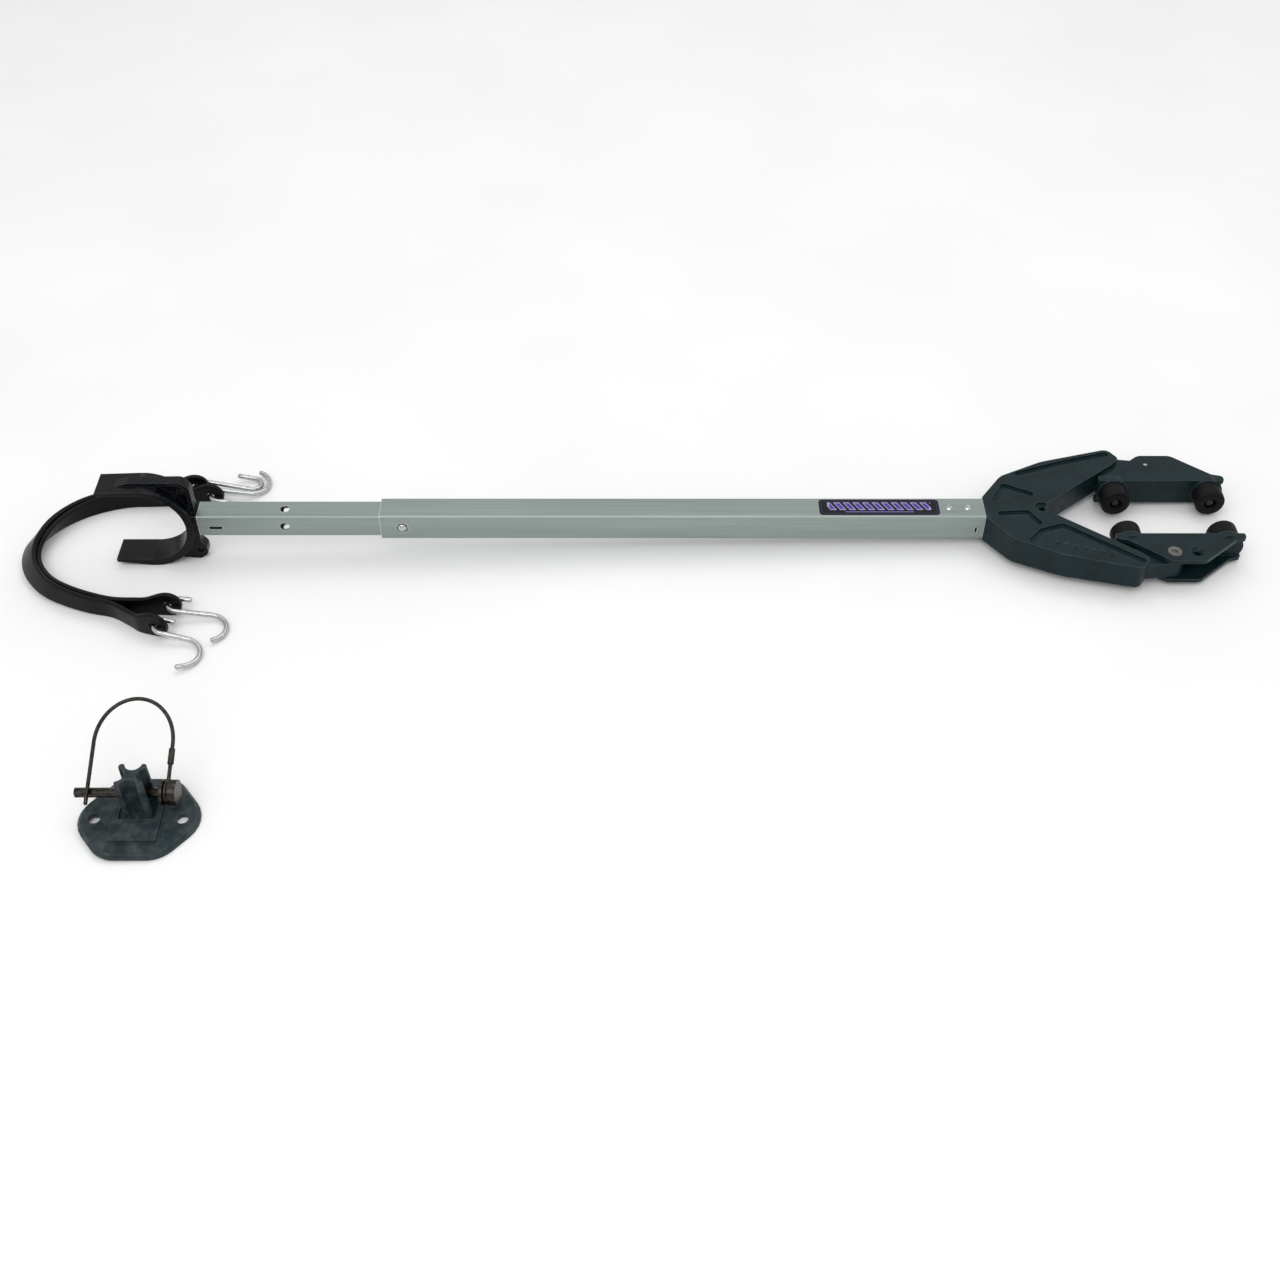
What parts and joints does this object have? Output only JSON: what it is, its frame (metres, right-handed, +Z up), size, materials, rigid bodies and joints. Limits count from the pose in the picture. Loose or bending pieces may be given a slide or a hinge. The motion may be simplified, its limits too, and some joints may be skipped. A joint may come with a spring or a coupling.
{
  "type": "outboard motor support bar",
  "caption": "Telescopic square-tube outboard motor support bar with saddle, padded yoke, rubber straps with hooks, and a pinned frame bracket",
  "frame": {"origin": "centre of the saddle's jaw, on the axis of the roller it sits over", "axes": "+X runs along the bar from the saddle to the yoke, +Y is the roller's axis, +Z is up as the bar lies"},
  "size_m": [1.3293, 0.5607, 0.1115],
  "materials": {
    "tube_metal": "mill-finish extruded, lightly brushed along its length",
    "bright_steel": "bright zinc plate",
    "dark_steel": "dark oiled steel",
    "black_casting": "satin black moulding with bright worn edges",
    "grey_casting": "satin blue-grey moulding",
    "rubber": "smooth black rubber",
    "label_film": null
  },
  "bodies": {
    "head": {"saddle": "black_casting", "inner_tube": "tube_metal", "button_spring": "dark_steel", "strap_front": "rubber", "strap_back": "rubber"},
    "button": {"snap_button": "bright_steel"},
    "barrel": {"outer_tube": "tube_metal", "label": "label_film", "yoke_rivets": "bright_steel", "yoke": "grey_casting"},
    "rocker_near_set": {"rocker_near": "grey_casting", "pivot_screw_near": "bright_steel", "washers_near": "black_casting", "pad_near_inner": "rubber", "pad_near_outer": "rubber", "pad_screws_near": "dark_steel"},
    "rocker_far_set": {"rocker_far": "grey_casting", "pivot_screw_far": "bright_steel", "washers_far": "black_casting", "pad_far_inner": "rubber", "pad_far_outer": "rubber", "pad_screws_far": "dark_steel"},
    "hook_upper_front": {"s_hook_upper_front": "bright_steel"},
    "hook_upper_back": {"s_hook_upper_back": "bright_steel"},
    "hook_lower_front": {"s_hook_lower_front": "bright_steel"},
    "hook_lower_back": {"s_hook_lower_back": "bright_steel"},
    "frame_bracket": {"bracket": "grey_casting"},
    "lock_pin": {"bracket_pin": "dark_steel"},
    "pin_bail": {"bail": "dark_steel", "bail_sleeve": "dark_steel"}
  },
  "joints": [
    {"name": "button_press", "type": "slide", "parent": "head", "child": "button", "axis": [0, 1, 0], "range_m": [0, 0.0048], "stiffness_N_per_m": 300, "deforming": ["button_spring"]},
    {"name": "telescope", "type": "slide", "parent": "head", "child": "barrel", "axis": [1, 0, 0], "range_m": [-0.16, 0.18], "deforming": ["snap_button"]},
    {"name": "rocker_near_pivot", "type": "hinge", "parent": "barrel", "child": "rocker_near_set", "pos_m": [1.1, -0.072, 0], "axis": [0, 0, 1], "range_deg": [-12, 4]},
    {"name": "rocker_far_pivot", "type": "hinge", "parent": "barrel", "child": "rocker_far_set", "pos_m": [1.1, 0.072, 0], "axis": [0, 0, -1], "range_deg": [-12, 4]},
    {"name": "hook_upper_front_swing", "type": "hinge", "parent": "head", "child": "hook_upper_front", "pos_m": [0.026, 0.101, -0.03816], "axis": [-0.0872, -0.9962, 0], "range_deg": [0, 60]},
    {"name": "hook_upper_back_swing", "type": "hinge", "parent": "head", "child": "hook_upper_back", "pos_m": [0.0465, 0.084, -0.03754], "axis": [0.0349, -0.9994, 0], "range_deg": [0, 60]},
    {"name": "hook_lower_front_swing", "type": "hinge", "parent": "head", "child": "hook_lower_front", "pos_m": [0.026, -0.126, -0.03816], "axis": [-0.1392, -0.9903, 0], "range_deg": [0, 60]},
    {"name": "hook_lower_back_swing", "type": "hinge", "parent": "head", "child": "hook_lower_back", "pos_m": [0.034, -0.095, -0.03792], "axis": [0, -1, 0], "range_deg": [0, 60]},
    {"name": "bracket_lift", "type": "slide", "parent": "head", "child": "frame_bracket", "axis": [0, 0, 1], "range_m": [0, 0.12]},
    {"name": "pin_pull", "type": "slide", "parent": "frame_bracket", "child": "lock_pin", "axis": [1, 0, 0], "range_m": [0, 0.025]},
    {"name": "bail_swing", "type": "hinge", "parent": "lock_pin", "child": "pin_bail", "pos_m": [0.0626, -0.3661, -0.0228], "axis": [1, 0, 0], "range_deg": [-30, 120]}
  ]
}
